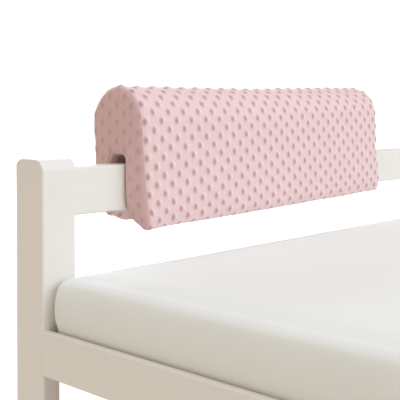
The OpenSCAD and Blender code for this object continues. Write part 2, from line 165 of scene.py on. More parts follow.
def length_property(name, description, default, low, high):
    """A length given in millimetres."""
    return FloatProperty(name=name, description=description, subtype="DISTANCE", unit="LENGTH",
                         default=default * MM, min=low * MM, max=high * MM)


def number_property(name, description, default, high, low=0.0):
    return FloatProperty(name=name, description=description, default=default, min=low, max=high)


class PaintSettings(bpy.types.PropertyGroup):
    """Finishes of the wooden frame and its fittings."""
    paint: colour_property("Paint", "Colour of the satin paint on posts and rails", (0.87, 0.835, 0.795))
    paint_roughness: number_property("Paint roughness", "Roughness of the satin paint", 0.42, 1.0)
    pine: colour_property("Pine", "Colour of the bare slats and battens", (0.62, 0.43, 0.25))
    pine_dark: colour_property("Pine rings", "Colour of the bare wood's late rings", (0.47, 0.29, 0.14))
    steel: colour_property("Steel", "Colour of the plated screws and bolts", (0.62, 0.63, 0.65))
    glide: colour_property("Glides", "Colour of the moulded floor glides", (0.72, 0.71, 0.68))


class MattressSettings(bpy.types.PropertyGroup):
    """Shape and fabric of the mattress."""
    fabric: colour_property("Fabric", "Colour of the mattress cover", (0.86, 0.873, 0.86))
    edge_radius: length_property("Edge radius", "Rounding of the mattress's edges", 19, 4, 32)
    inset: length_property("Inset", "How much smaller the mattress starts before it swells", 0.5, 0.0, 8)
    crown: length_property("Crown", "Most that the cover may swell", 7.5, 0.0, 14)
    top_lift: length_property("Top lift", "How far the whole top rises, out to its edges", 3.5, 0.0, 6)
    side_swell: length_property("Side swell", "Most that the sides swell between the posts", 8, 0.0, 11)
    cell: length_property("Cell", "Size of the mesh's cells before smoothing", 18, 8, 40)
    thread: length_property("Thread pitch", "Distance between two threads of the weave", 0.7, 0.2, 3)


class CushionSettings(bpy.types.PropertyGroup):
    """Shape and fabric of the saddle cushion."""
    plush: colour_property("Plush", "Colour of the short pile", (0.845, 0.635, 0.65))
    # Painted shade: the colour mixed in beside each dot and between the tufts, standing in for shade in
    # the pile
    painted_shade: colour_property("Painted shade", "Colour deep in the pile around a dot", (0.56, 0.31, 0.31))
    dot_pitch_run: length_property("Dot pitch along", "Distance of dots along the roll", 30.5, 10, 60)
    dot_pitch_turn: length_property("Dot pitch across", "Distance of dots across the roll", 25.2, 10, 60)
    dot_radius: length_property("Dot radius", "Radius of a raised dot", 7.6, 2, 12)
    dot_height: length_property("Dot height", "Height of a raised dot", 1.9, 0.0, 6)
    foot_radius: length_property("Foot radius", "Rounding of the lower outer corners", 11, 2, 14)
    inset: length_property("Inset", "How much smaller the cushion starts before it swells", 0.8, 0.0, 6)
    swell: length_property("Swell", "Most that the cover may swell", 3.6, 0.0, 8)
    end_rounding: length_property("End rounding", "Rounding of the seam round the head end", 15, 0.0, 30)
    near_rounding: length_property("Near rounding", "Rounding of the foot end's front seam", 8, 0.0, 30)
    corner_pull: length_property("Corner pull", "How far the lower corners are drawn in", 3, 0.0, 20)
    columns: IntProperty(name="Columns", description="Cells along the cushion before smoothing",
                         default=60, min=20, max=120)


class StageSettings(bpy.types.PropertyGroup):
    """Camera, lights and floor."""
    focal_length: number_property("Focal length", "Lens, in millimetres on a 36 mm sensor",
                                  72.29, 200.0, 20.0)
    view_shift: number_property("Vertical shift", "Shift of the lens, as a part of the width",
                                -0.1125, 0.5, -0.5)
    floor: colour_property("Floor", "Colour of the floor", (0.74, 0.72, 0.69))
    floor_lift: number_property("Floor lift", "Glow that lifts the floor by the bed to white", 0.46, 2.0)
    ambient: colour_property("Ambient", "Colour of the light from all round", (1, 0.824, 0.565))
    ambient_strength: number_property("Ambient strength", "Strength of light from all round", 0.54, 5.0)
    side: colour_property("Side", "Colour of the side light", (0.73, 0.878, 1))
    side_power: number_property("Side power", "Power of the side light, in watts", 111.0, 2000.0)
    top: colour_property("Top", "Colour of the top light", (0.566, 0.715, 1))
    top_power: number_property("Top power", "Power of the top light, in watts", 68.0, 2000.0)
    end: colour_property("End", "Colour of the light on the foot end", (0.837, 0.901, 1))
    end_power: number_property("End power", "Power of the light on the foot end, in watts", 22.0, 2000.0)
    back: colour_property("Back", "Colour of the fill light behind the bed", (0.818, 0.91, 1))
    back_power: number_property("Back power", "Power of the light at the back, in watts", 78.0, 2000.0)


# ---- shader helpers ----

def put(tree, socket, value):
    """Gives a socket a value, or links another socket to it."""
    if isinstance(value, bpy.types.NodeSocket):
        tree.links.new(value, socket)
    else:
        socket.default_value = value


def add(tree, kind, sockets=None, **settings):
    """Adds a shader node, sets its own settings, then its sockets from values or links."""
    node = tree.nodes.new("ShaderNode" + kind)
    for key, value in settings.items():
        setattr(node, key, value)
    for key, value in (sockets or {}).items():
        put(tree, node.inputs[key], value)
    return node


def maths(tree, operation, *values):
    """A Math node's output, from numbers or sockets."""
    return add(tree, "Math", dict(enumerate(values)), operation=operation).outputs[0]


def times(tree, first, second):
    return maths(tree, "MULTIPLY", first, second)


def own_place(tree):
    """The shaded point's place in metres."""
    return add(tree, "TexCoord").outputs["Object"]


def noise(tree, scale, detail=2.0):
    """Smooth noise over the piece, from 0 to 1."""
    node = add(tree, "TexNoise", {"Vector": own_place(tree), "Scale": scale, "Detail": detail})
    return node.outputs["Fac"]


def mix_colour(tree, factor, first, second):
    """The colour between first and second."""
    node = add(tree, "Mix", data_type="RGBA")
    for key, value in ((0, factor), (6, first), (7, second)):
        put(tree, node.inputs[key], (*value, 1.0) if hasattr(value, "__len__") else value)
    return node.outputs[2]


def shade(colour, factor):
    """A colour times a factor."""
    return tuple(value * factor for value in colour)


def remap(tree, value, low, high, to_low, to_high):
    """Value taken smoothly from one range to another."""
    node = add(tree, "MapRange", {0: value, 1: low, 2: high, 3: to_low, 4: to_high},
               interpolation_type="SMOOTHSTEP")
    return node.outputs[0]


def new_group(name, inputs, outputs):
    """An empty shader node group, the sockets of its input node and those of its output node."""
    tree = bpy.data.node_groups.new(name, "ShaderNodeTree")
    for label, default in inputs.items():
        kind = "NodeSocketFloat" if isinstance(default, float) else "NodeSocketVector"
        tree.interface.new_socket(label, in_out="INPUT", socket_type=kind).default_value = default
    for label in outputs:
        tree.interface.new_socket(label, in_out="OUTPUT", socket_type="NodeSocketFloat")
    return tree, tree.nodes.new("NodeGroupInput").outputs, tree.nodes.new("NodeGroupOutput").inputs


def group(tree, name, **sockets):
    """Places a node group, its sockets named with spaces as underscores."""
    node = tree.nodes.new("ShaderNodeGroup")
    node.node_tree = bpy.data.node_groups[name]
    for key, value in sockets.items():
        put(tree, node.inputs[key.replace("_", " ")], value)
    return node.outputs


def blotches(tree, scale):
    """The mask of the soft blotches group."""
    return group(tree, "Soft blotches", Scale=scale)["Mask"]


def build_grain_group():
    """Wood grain that runs along the axis whose stretch is smallest."""
    tree, ins, outs = new_group("Wood grain", {"Stretch": (1.0, 1.0, 1.0), "Ring scale": 18.0},
                                ["Rings", "Fibre"])
    along = add(tree, "VectorMath", {0: own_place(tree), 1: ins["Stretch"]}, operation="MULTIPLY")
    along = along.outputs[0]
    wander = add(tree, "TexNoise", {"Vector": along, "Scale": ins["Ring scale"], "Detail": 3.0,
                                    "Roughness": 0.55, "Distortion": 0.6}).outputs["Fac"]
    rings = maths(tree, "SINE", times(tree, wander, 46.0))
    tree.links.new(remap(tree, rings, -1.0, 1.0, 0.0, 1.0), outs["Rings"])
    fibre_scale = times(tree, ins["Ring scale"], 22.0)
    fibre = add(tree, "TexNoise", {"Vector": along, "Scale": fibre_scale, "Detail": 2.0})
    tree.links.new(fibre.outputs["Fac"], outs["Fibre"])


def build_cloud_group():
    """Soft blotches, for the uneven tone of a large surface."""
    tree, ins, outs = new_group("Soft blotches", {"Scale": 6.0}, ["Mask"])
    tree.links.new(remap(tree, noise(tree, ins["Scale"], 4.0), 0.3, 0.7, 0.0, 1.0), outs["Mask"])


def build_weave_group():
    """Plain weave of threads a pitch apart, the same on faces that look any way."""
    tree, ins, outs = new_group("Plain weave", {"Pitch": 0.7 * MM}, ["Height"])
    place = add(tree, "SeparateXYZ", {0: own_place(tree)})
    turns = maths(tree, "DIVIDE", math.pi, ins["Pitch"])
    waves = [maths(tree, "SINE", times(tree, axis, turns)) for axis in place.outputs]
    pairs = [times(tree, waves[i], waves[(i + 1) % 3]) for i in range(3)]
    total = maths(tree, "ADD", maths(tree, "ADD", pairs[0], pairs[1]), pairs[2])
    tree.links.new(remap(tree, total, -1.0, 1.0, 0.0, 1.0), outs["Height"])


def build_pile_group():
    """Short pile: fine tufts and the direction that a hand has brushed them in."""
    tree, ins, outs = new_group("Short pile", {"Tuft scale": 900.0}, ["Tufts", "Brushed"])
    tree.links.new(noise(tree, ins["Tuft scale"]), outs["Tufts"])
    tree.links.new(remap(tree, noise(tree, 26.0, 3.0), 0.35, 0.65, 0.0, 1.0), outs["Brushed"])


def build_dot_group():
    """Rows of staggered dots on the fabric map, which is in metres. Each dot gets a painted shade on its
    side towards -run and a painted highlight crescent on its side towards +run, as if lit from the +run
    side."""
    tree, ins, outs = new_group("Staggered dots", {"Run pitch": 1.0, "Turn pitch": 1.0, "Radius": 1.0},
                                ["Dome", "Shade", "Crescent"])
    place = add(tree, "SeparateXYZ", {0: add(tree, "UVMap", uv_map="fabric").outputs[0]})

    def nearest(offset_along_run, wide, tall):
        """Distance to the nearest dot's ellipse, 1 at its edge, moved along the run by lean."""
        least = None
        for shift in (0.0, 0.5):
            squares = []
            for axis, pitch, move, size in ((0, ins["Run pitch"], offset_along_run, wide),
                                            (1, ins["Turn pitch"], 0.0, tall)):
                cells = maths(tree, "ADD", maths(tree, "DIVIDE", place.outputs[axis], pitch), shift)
                off = times(tree, maths(tree, "SUBTRACT", maths(tree, "FRACT", cells), 0.5), pitch)
                off = maths(tree, "SUBTRACT", maths(tree, "DIVIDE", off, ins["Radius"]), move)
                off = maths(tree, "DIVIDE", off, size)
                squares.append(times(tree, off, off))
            away = maths(tree, "SQRT", maths(tree, "ADD", *squares))
            least = away if least is None else maths(tree, "MINIMUM", least, away)
        return least

    tree.links.new(remap(tree, nearest(0.0, 1.0, 1.0), 0.1, 1.0, 1.0, 0.0), outs["Dome"])
    # Painted shade on the -run side of each dot and painted highlight on its +run side
    tree.links.new(remap(tree, nearest(-0.30, 0.62, 0.95), 0.25, 1.05, 1.0, 0.0), outs["Shade"])
    tree.links.new(remap(tree, nearest(0.62, 0.5, 0.85), 0.2, 1.1, 1.0, 0.0), outs["Crescent"])


def new_material(name):
    """A material with an empty tree, and its Principled shader joined to the output."""
    material = bpy.data.materials.new(name)
    material.use_nodes = True
    tree = material.node_tree
    tree.nodes.clear()
    shader = tree.nodes.new("ShaderNodeBsdfPrincipled")
    output = tree.nodes.new("ShaderNodeOutputMaterial")
    tree.links.new(shader.outputs[0], output.inputs["Surface"])
    return material, tree, shader


def feed(tree, shader, colour, roughness, **constants):
    """Feeds the shader's colour and roughness, and sets other sockets, their spaces as underscores."""
    put(tree, shader.inputs["Base Color"], colour)
    put(tree, shader.inputs["Roughness"], roughness)
    for key, value in constants.items():
        shader.inputs[key.replace("_", " ")].default_value = value


def bump(tree, shader, height, strength, distance):
    """Feeds a height into the shader's normal."""
    node = add(tree, "Bump", {"Height": height, "Strength": strength, "Distance": distance})
    tree.links.new(node.outputs[0], shader.inputs["Normal"])


def grain_stretch(axis):
    """Stretch that draws grain out along the axis numbered 0, 1 or 2."""
    return tuple(0.06 if i == axis else 1.0 for i in range(3))


# ---- materials ----

def painted_wood(name, axis, settings):
    """Satin paint over close-grained wood, with a faint grain and roller texture under the paint."""
    material, tree, shader = new_material(name)
    grain = group(tree, "Wood grain", Stretch=grain_stretch(axis), Ring_scale=9.0)
    tone = blotches(tree, 5.0)
    roller = noise(tree, 420.0, 1.0)
    paint = settings.paint
    colour = mix_colour(tree, times(tree, tone, 0.7), paint, shade(paint, 0.965))
    line = times(tree, grain["Rings"], 0.10)
    colour = mix_colour(tree, line, colour, shade(paint, 0.93))
    rough = maths(tree, "MULTIPLY_ADD", roller, 0.16, settings.paint_roughness - 0.08)
    feed(tree, shader, colour, rough, Specular_IOR_Level=0.42, Coat_Weight=0.08, Coat_Roughness=0.3)
    height = maths(tree, "ADD", times(tree, grain["Rings"], 0.35),
                   times(tree, roller, 0.45))
    bump(tree, shader, height, 0.35, 0.12 * MM)
    return material


def bare_pine(name, axis, settings):
    """Sanded pine with dark late rings and open fibres."""
    material, tree, shader = new_material(name)
    grain = group(tree, "Wood grain", Stretch=grain_stretch(axis), Ring_scale=16.0)
    tone = blotches(tree, 9.0)
    ring = maths(tree, "POWER", grain["Rings"], 2.2)
    colour = mix_colour(tree, ring, settings.pine, settings.pine_dark)
    colour = mix_colour(tree, times(tree, tone, 0.25), colour, (0.70, 0.52, 0.33))
    feed(tree, shader, colour, remap(tree, grain["Fibre"], 0.2, 0.8, 0.52, 0.72))
    height = maths(tree, "ADD", times(tree, grain["Rings"], 0.4), grain["Fibre"])
    bump(tree, shader, height, 0.5, 0.15 * MM)
    return material


def plated_steel(name, settings, roughness):
    """Bright plating with fine drawn scratches."""
    material, tree, shader = new_material(name)
    scratch = group(tree, "Wood grain", Stretch=(1.0, 0.15, 1.0), Ring_scale=160.0)
    tone = blotches(tree, 60.0)
    feed(tree, shader, mix_colour(tree, tone, settings.steel, shade(settings.steel, 0.86)),
         remap(tree, scratch["Fibre"], 0.2, 0.8, roughness - 0.08, roughness + 0.1), Metallic=1.0)
    bump(tree, shader, scratch["Fibre"], 0.2, 0.03 * MM)
    return material


def moulded_plastic(name, settings):
    """Matt moulded nylon with a fine spark-eroded grain."""
    material, tree, shader = new_material(name)
    tone = blotches(tree, 80.0)
    spark = noise(tree, 2600.0)
    feed(tree, shader, mix_colour(tree, tone, settings.glide, shade(settings.glide, 0.9)),
         remap(tree, spark, 0.2, 0.8, 0.5, 0.62))
    bump(tree, shader, spark, 0.3, 0.04 * MM)
    return material


def woven_cotton(name, settings):
    """Close-woven white cotton stretched over foam."""
    material, tree, shader = new_material(name)
    weave = group(tree, "Plain weave", Pitch=settings.thread)["Height"]
    tone = blotches(tree, 7.0)
    slub = group(tree, "Wood grain", Stretch=(0.2, 1.0, 1.0), Ring_scale=60.0)["Fibre"]
    fabric = settings.fabric
    colour = mix_colour(tree, times(tree, tone, 0.5), fabric, shade(fabric, 0.975))
    colour = mix_colour(tree, times(tree, weave, 0.16), colour, shade(fabric, 0.9))
    feed(tree, shader, colour, remap(tree, slub, 0.2, 0.8, 0.78, 0.9), Sheen_Weight=1.0,
         Sheen_Roughness=0.35, Specular_IOR_Level=0.25)
    bump(tree, shader, maths(tree, "MULTIPLY_ADD", slub, 0.5, weave), 0.3, 0.12 * MM)
    return material


def dotted_plush(name, settings, relief, tone):
    """Short-pile plush with raised dots. relief is their strength, with that of their painted shade and
    highlight, and tone scales the whole colour, darkening it as painted shade where it is below 1.
    """
    material, tree, shader = new_material(name)
    dots = group(tree, "Staggered dots", Run_pitch=settings.dot_pitch_run,
                 Turn_pitch=settings.dot_pitch_turn, Radius=settings.dot_radius)
    pile = group(tree, "Short pile", Tuft_scale=1100.0)
    plush, painted_shade = (tuple(a * b for a, b in zip(tint, tone))
                     for tint in (settings.plush, settings.painted_shade))
    colour = mix_colour(tree, times(tree, pile["Brushed"], 0.35), plush,
                        tuple(min(1.0, value * 1.05) for value in plush))
    # Painted highlight on one side of each dot, then painted shade on the other
    pale = times(tree, dots["Crescent"], 0.55 * relief)
    colour = mix_colour(tree, pale, colour, tuple(min(1.0, value * 1.16 + 0.03) for value in plush))
    shadow = times(tree, dots["Shade"], 0.85 * relief)
    colour = mix_colour(tree, shadow, colour, painted_shade)
    # Painted shade between the tufts
    colour = mix_colour(tree, remap(tree, pile["Tufts"], 0.25, 0.6, 0.18, 0.0), colour, painted_shade)
    feed(tree, shader, colour, remap(tree, pile["Tufts"], 0.2, 0.8, 0.98, 0.84), Sheen_Weight=1.0,
         Sheen_Roughness=0.35, Sheen_Tint=(1.0, 0.93, 0.94, 1.0), Specular_IOR_Level=0.15)
    height = maths(tree, "MULTIPLY_ADD", dots["Dome"], relief, times(tree, pile["Tufts"], 0.35))
    bump(tree, shader, height, 0.55, 1.2 * MM)
    return material


def zip_tape_cloth(name, settings):
    """Woven herringbone tape, a little deeper in tone than the plush."""
    material, tree, shader = new_material(name)
    weave = group(tree, "Plain weave", Pitch=0.9 * MM)["Height"]
    tone = blotches(tree, 40.0)
    deep = shade(settings.plush, 0.86)
    colour = mix_colour(tree, times(tree, weave, 0.4), deep, shade(deep, 0.78))
    feed(tree, shader, mix_colour(tree, times(tree, tone, 0.3), colour, deep),
         remap(tree, weave, 0.0, 1.0, 0.85, 0.7))
    bump(tree, shader, weave, 0.6, 0.15 * MM)
    return material


def zip_coil_nylon(name, settings):
    """Smooth nylon coil, dyed to match the tape."""
    material, tree, shader = new_material(name)
    tone = blotches(tree, 120.0)
    dyed = shade(settings.plush, 0.92)
    feed(tree, shader, mix_colour(tree, tone, dyed, shade(dyed, 0.88)),
         remap(tree, tone, 0.0, 1.0, 0.3, 0.42))
    return material


def stage_floor(name, settings):
    """Pale floor: what the camera sees directly is lifted, so that it runs into the backdrop."""
    material, tree, shader = new_material(name)
    tone = blotches(tree, 1.5)
    feed(tree, shader, mix_colour(tree, tone, settings.floor, shade(settings.floor, 0.985)), 0.9,
         Specular_IOR_Level=0.1)
    seen = add(tree, "LightPath").outputs["Is Camera Ray"]
    away = add(tree, "VectorMath", {0: own_place(tree)}, operation="LENGTH").outputs["Value"]
    lift = remap(tree, away, 1.0, 2.6, settings.floor_lift, 1.2)
    glow = add(tree, "Emission", {"Color": (1.0, 1.0, 1.0, 1.0), "Strength": times(tree, seen, lift)})
    both = add(tree, "AddShader", {0: shader.outputs[0], 1: glow.outputs[0]})
    output = next(node for node in tree.nodes if node.type == "OUTPUT_MATERIAL")
    tree.links.new(both.outputs[0], output.inputs["Surface"])
    return material


def dress(names, material):
    """Gives CAD nodes a finish."""
    for name in names:
        for slot in NODES[name].material_slots:
            slot.material = material


# ---- mesh helpers ----

def shade_smooth(mesh):
    mesh.polygons.foreach_set("use_smooth", [True] * len(mesh.polygons))


def link_mesh(name, points, faces, materials):
    """A smooth-shaded mesh object from points and faces."""
    mesh = bpy.data.meshes.new(name)
    mesh.from_pydata([tuple(p) for p in points], [], faces)
    mesh.update()
    for material in materials:
        mesh.materials.append(material)
    shade_smooth(mesh)
    piece = bpy.data.objects.new(name, mesh)
    bpy.context.scene.collection.objects.link(piece)
    return piece


def set_points(mesh, points):
    mesh.vertices.foreach_set("co", np.ascontiguousarray(points, dtype=np.float32).ravel())
    mesh.update()


def get_normals(mesh):
    return read(mesh.vertex_normals, "vector", 3)


def evaluated_points(piece):
    """Where the modifiers put the piece's vertices."""
    shown = piece.evaluated_get(bpy.context.evaluated_depsgraph_get())
    return get_points(shown.data)


def limit_moves(start, end, normals, most):
    """Moves from start towards end, each no longer than its own limit, and hardly inward."""
    moves = end - start
    inward = np.minimum(0.0, (moves * normals).sum(axis=1))
    moves -= 0.85 * inward[:, None] * normals
    length = np.maximum(np.linalg.norm(moves, axis=1), 1e-9)
    share = np.minimum(1.0, most / length)
    return start + moves * share[:, None]


def swell(piece, hold, most, pressure=4.0, frames=20):
    """Blows a closed cover up as cloth. hold is 1 where it can't move, most is each point's limit."""
    start, normals = get_points(piece.data), get_normals(piece.data)
    pins = piece.vertex_groups.new(name="hold")
    for index, weight in enumerate(hold):
        if weight > 0:
            pins.add([index], float(weight), "REPLACE")
    cloth = piece.modifiers.new("swell", "CLOTH")
    for key, value in {"quality": 4, "mass": 0.3, "tension_stiffness": 12, "compression_stiffness": 12,
                       "bending_stiffness": 0.6, "use_pressure": True,
                       "uniform_pressure_force": pressure, "vertex_group_mass": pins.name}.items():
        setattr(cloth.settings, key, value)
    cloth.settings.effector_weights.gravity = 0.0
    cloth.collision_settings.use_collision = False
    cloth.point_cache.frame_start = 1
    cloth.point_cache.frame_end = frames
    for number in range(1, frames + 1):
        bpy.context.scene.frame_set(number)
    end = evaluated_points(piece)
    piece.modifiers.remove(cloth)
    piece.vertex_groups.remove(pins)
    bpy.context.scene.frame_set(1)
    set_points(piece.data, limit_moves(start, end, normals, most))


def smooth_out(piece, levels):
    """Subdivides the piece for good, and keeps its fabric map straight."""
    divide = piece.modifiers.new("smooth", "SUBSURF")
    divide.levels = levels
    divide.render_levels = levels
    divide.uv_smooth = "NONE"
    graph = bpy.context.evaluated_depsgraph_get()
    mesh = bpy.data.meshes.new_from_object(piece.evaluated_get(graph), preserve_all_data_layers=True,
                                           depsgraph=graph)
    piece.modifiers.remove(divide)
    old = piece.data
    piece.data = mesh
    mesh.name = old.name
    bpy.data.meshes.remove(old)
    shade_smooth(mesh)


def ramp(value, low, high):
    """0 at low and 1 at high, smooth between."""
    t = np.clip((value - low) / (high - low), 0.0, 1.0)
    return t * t * (3 - 2 * t)


def ripples(points, wave, seed):
    """A smooth field from -1 to 1 with folds about a wave long."""
    random = np.random.default_rng(seed)
    total = np.zeros(len(points))
    for _ in range(7):
        direction = random.normal(size=3)
        direction /= np.linalg.norm(direction)
        step = 2 * math.pi / (wave * random.uniform(0.6, 1.6))
        total += np.sin(points @ direction * step + random.uniform(0, 2 * math.pi))
    return total / 7


# ---- cushion ----

def spread(points, count, close=0.0):
    """A path of count points along a polyline, with eight of them within close of each end."""
    points = np.asarray(points)
    steps = np.linalg.norm(np.diff(points, axis=0), axis=1)
    place = np.concatenate(([0.0], np.cumsum(steps)))
    wanted = np.linspace(0.0, place[-1], count)
    if close:
        tight = np.linspace(0.0, close, 8)
        wanted = np.concatenate((tight[:-1], np.linspace(close, place[-1] - close, count - 14),
                                 place[-1] - tight[-2::-1]))
    return np.column_stack([np.interp(wanted, place, points[:, i]) for i in range(2)])


def arc(centre, radius, start, end, count=16):
    """Points of an arc, its angles in degrees."""
    angles = np.radians(np.linspace(start, end, count))
    return [(centre[0] + radius * math.cos(a), centre[1] + radius * math.sin(a)) for a in angles]


def cushion_paths(size, settings):
    """The section's outer path and slot path, from the front foot over the rail to the back foot."""
    inset = settings.inset
    radius = size.radius - inset
    shoulder = size.top - size.radius
    low = size.bottom - 2.5 * MM
    foot = settings.foot_radius
    bevel = size.slot_bottom - size.bottom
    front = -size.radius - size.splay + inset
    outer = [(front + foot, low)] + arc((front + foot, low + foot), foot, 265, 182, 8)
    outer += arc((0, shoulder), radius, 178, 2, 48)
    outer += arc((radius - foot, low + foot), foot, -2, -85, 8) + [(radius - foot, low)]
    half = size.half_slot
    corner = size.slot_top - size.slot_round_start
    slot = [(-half, low + bevel)] + arc((-half + corner, size.slot_round_start), corner, 180, 90, 8)
    slot += arc((half - corner, size.slot_round_start), corner, 90, 0, 8) + [(half, low + bevel)]
    return outer, slot


def build_cushion(size, settings, materials):
    """A closed saddle: a wrap along the rail and an end panel at each end, on a regular grid."""
    along, across = 58, 8
    outer_line, slot_line = cushion_paths(size, settings)
    outer, slot = spread(outer_line, along + 1, 24 * MM), spread(slot_line, along + 1)
    share = np.linspace(0.0, 1.0, across + 1)[None, :, None]
    strip = outer[:, None, :] * (1 - share) + slot[:, None, :] * share
    loop = [(k, 0) for k in range(along + 1)] + [(along, m) for m in range(1, across)]
    loop += [(k, across) for k in range(along, -1, -1)] + [(0, m) for m in range(across - 1, 0, -1)]
    ring = np.array([strip[k, m] for k, m in loop])
    steps = np.linalg.norm(np.diff(ring, axis=0, append=ring[:1]), axis=1)
    turn = np.concatenate(([0.0], np.cumsum(steps)))
    apex = turn[along // 2]
    columns = settings.columns
    xs = np.linspace(size.x0 + 1 * MM, size.x1 - 1 * MM, columns + 1)
    count = len(loop)
    points = [(x, y + size.mid_y, z) for x in xs for y, z in ring]
    faces, marks, maps = [], [], []
    for i in range(columns):
        for j in range(count):
            n = (j + 1) % count
            faces.append((i * count + j, (i + 1) * count + j, (i + 1) * count + n, i * count + n))
            marks.append(0)
            u0, u1, v0, v1 = xs[i], xs[i + 1], turn[j] - apex, turn[j + 1] - apex
            maps.append(((u0, v0), (u1, v0), (u1, v1), (u0, v1)))
    where = {pair: j for j, pair in enumerate(loop)}
    for i, x in ((0, xs[0]), (columns, xs[-1])):
        number = {pair: i * count + j for pair, j in where.items()}
        for k in range(along + 1):
            for m in range(1, across):
                if (k, m) not in number:
                    number[(k, m)] = len(points)
                    y, z = strip[k, m]
                    points.append((x, y + size.mid_y, z))
        for k in range(along):
            for m in range(across):
                corners = [(k, m), (k, m + 1), (k + 1, m + 1), (k + 1, m)]
                if i == 0:
                    corners.reverse()
                faces.append(tuple(number[c] for c in corners))
                marks.append(1)
                maps.append(tuple((strip[c][0], strip[c][1] - size.top) for c in corners))
    piece = link_mesh("saddle_cushion", points, faces, materials)
    piece.data.polygons.foreach_set("material_index", marks)
    layer = piece.data.uv_layers.new(name="fabric")
    layer.data.foreach_set("uv", np.array(maps).ravel())
    slots = {j for j, (k, m) in enumerate(loop) if m == across}
    hold = np.array([1.0 if index < (columns + 1) * count and index % count in slots else 0.0
                     for index in range(len(points))])
    return piece, hold


def fabric_places(mesh):
    """Each vertex's place on the fabric map, and masks of the wrap and of its end seams."""
    vertex = read(mesh.loops, "vertex_index", kind=int)
    sides = read(mesh.polygons, "loop_total", kind=int)
    mark = np.repeat(read(mesh.polygons, "material_index", kind=int), sides)
    place = np.zeros((len(mesh.vertices), 2))
    wrap = np.zeros(len(mesh.vertices))
    panel = np.zeros(len(mesh.vertices))
    place[vertex] = read(mesh.uv_layers["fabric"].data, "uv", 2)
    wrap[vertex[mark == 0]] = 1.0
    panel[vertex[mark == 1]] = 1.0
    return place, wrap, wrap * panel


def dot_domes(place, settings):
    """0 to 1 over the staggered dots, as the material's own dots."""
    nearest = None
    for shift in (0.0, 0.5):
        off_u = ((place[:, 0] / settings.dot_pitch_run + shift) % 1.0 - 0.5) * settings.dot_pitch_run
        off_v = ((place[:, 1] / settings.dot_pitch_turn + shift) % 1.0 - 0.5) * settings.dot_pitch_turn
        away = np.hypot(off_u, off_v)
        nearest = away if nearest is None else np.minimum(nearest, away)
    return 1 - ramp(nearest, 0.05 * settings.dot_radius, 1.1 * settings.dot_radius)


def quarter_round(t):
    """0 at t 0 and nearly 1 at t 1, along a quarter circle."""
    return 1 - np.sqrt(1 - 0.98 * t ** 2)


def draw_in_corners(points, size, settings):
    """Draws the lower corners in, the back leg's more than the front's, and rounds the end seams."""
    away = (points[:, 0] - size.x_mid) / size.half_length
    low = 1 - ramp(points[:, 2], size.bottom, size.bottom + CORNER_HEIGHT)
    behind = (points[:, 1] > size.mid_y) * 1.0
    pull = settings.corner_pull * low * ramp(np.abs(away), 0.72, 1.0)
    pull *= 1 + (BACK_CORNER_PULL - 1) * behind
    lift = settings.corner_pull * low * ramp(np.abs(away), 0.86, 1.0)
    points[:, 0] -= np.sign(away) * pull
    points[:, 2] += BACK_CORNER_LIFT * behind * lift
    gap = size.half_length - np.abs(points[:, 0] - size.x_mid) - pull
    tip = np.clip(1 - gap / TIP_LENGTH, 0.0, 1.0)
    underside = 1 - ramp(points[:, 2], size.bottom + 4 * MM, size.bottom + 24 * MM)
    points[:, 2] += TIP_RISE * quarter_round(tip) * underside
    in_front = ramp(size.mid_y - points[:, 1], -15 * MM, 25 * MM)
    sink = 0.0
    for edge, rounding in ((size.x1 - points[:, 0], settings.end_rounding),
                           (points[:, 0] - size.x0, settings.near_rounding * in_front)):
        near_end = np.clip(1 - edge / (1.8 * np.maximum(rounding, 1 * MM)), 0.0, 1.0)
        sink = sink + rounding * quarter_round(near_end)
    spoke = points[:, 1:] - np.array((size.mid_y, size.top - size.radius))
    spoke[:, 1] = np.maximum(spoke[:, 1], 0.0)
    length = np.maximum(np.linalg.norm(spoke, axis=1), 1e-6)
    outside = ramp(length, size.half_slot + 4 * MM, size.radius - 4 * MM)
    points[:, 1:] -= spoke / length[:, None] * (sink * outside)[:, None]
    return points


def shape_cushion(piece, hold, size, settings):
    """Swells the saddle, shapes its ends, raises its dots and presses it flat under the zip."""
    start = get_points(piece.data)
    most = np.full(len(start), settings.swell)
    most[np.abs(start[:, 0] - size.x_mid) > size.half_length - 3 * MM] = settings.swell * END_SWELL
    swell(piece, hold, most)
    set_points(piece.data, draw_in_corners(get_points(piece.data), size, settings))
    smooth_out(piece, 2)
    mesh = piece.data
    points, normals = get_points(mesh), get_normals(mesh)
    place, wrap, seam = fabric_places(mesh)
    y, z = points[:, 1] - size.mid_y, points[:, 2]
    in_slot = (np.abs(y) < size.half_slot + 3 * MM) & (z < size.slot_top + 3 * MM)
    tape_z = (size.tape_low[2] + size.tape_high[2]) / 2
    tape_half = (size.tape_high[2] - size.tape_low[2]) / 2
    near_tape = 1 - ramp(np.abs(z - tape_z), tape_half + 1 * MM, tape_half + 9 * MM)
    near_tape *= (y > 0) & (wrap > 0)
    free = (1.0 - in_slot) * (1 - near_tape)
    end_gap = size.half_length - np.abs(points[:, 0] - size.x_mid)
    fade = np.where(wrap > 0, ramp(end_gap, 4 * MM, 12 * MM), END_PANEL_DOTS)
    fade = fade * ramp(z, size.bottom + 2 * MM, size.bottom + 16 * MM)
    folds = ripples(points, 85 * MM, 5) * 0.9 * MM + ripples(points, 30 * MM, 6) * 0.25 * MM
    lift = (dot_domes(place, settings) * fade * settings.dot_height + folds) * free - SEAM_DEPTH * seam
    points = points + normals * lift[:, None]
    flat = size.mid_y + size.radius - ZIP_BED
    back_y = points[:, 1]
    points[:, 1] = back_y + (np.minimum(back_y, flat) - back_y) * near_tape
    set_points(mesh, turn_about_y(points, size.tilt))


# ---- mattress ----

def rounded_lines(half, radius, cell):
    """Grid lines from -half to half, closer together in the rounded edges."""
    inner = half - radius
    middle = np.linspace(-inner, inner, max(2, round(2 * inner / cell)) + 1)
    edge = inner + radius * np.tan(np.radians((15.0, 30.0, 45.0)))
    return np.concatenate((-edge[::-1], middle, edge))


